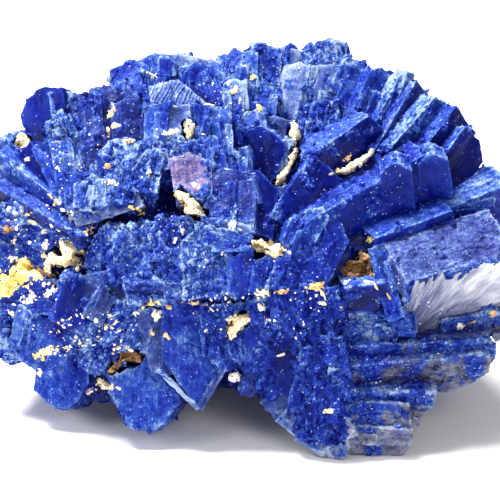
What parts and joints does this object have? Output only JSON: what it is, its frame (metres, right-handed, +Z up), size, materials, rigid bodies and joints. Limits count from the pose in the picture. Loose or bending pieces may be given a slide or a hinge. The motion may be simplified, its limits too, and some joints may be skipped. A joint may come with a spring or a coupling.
{
  "type": "azurite specimen",
  "caption": "Natural azurite specimen: deep blue tabular crystals grown together in fan-shaped rosettes, with cream clay and brown limonite in the gaps, on a flat cut base.",
  "frame": {"origin": "middle of the bounding box at the height of the flat cut base", "axes": "+X runs along the specimen's longest side to the right of whoever looks at its front, +Y points to its rear and +Z up from the base"},
  "size_m": [0.0852, 0.0548, 0.0538],
  "materials": {
    "azurite": "deep blue azurite, part glassy flat faces, part rough and sparkling",
    "cream_clay": "matte cream clay",
    "yellow_clay": "matte yellow ochre clay",
    "limonite": "dull brown limonite"
  },
  "bodies": {
    "root": {"azurite_cluster": "azurite", "clay_yellow_wedge": "yellow_clay", "clay_left": "cream_clay", "clay_upper_left": "cream_clay", "clay_centre": "cream_clay", "clay_top": "cream_clay", "clay_diagonal": "cream_clay", "clay_right_seam": "cream_clay", "clay_pocket": "cream_clay", "limonite_pocket": "limonite", "clay_lower": "cream_clay", "clay_row": "cream_clay", "limonite_left": "limonite"}
  },
  "joints": []
}
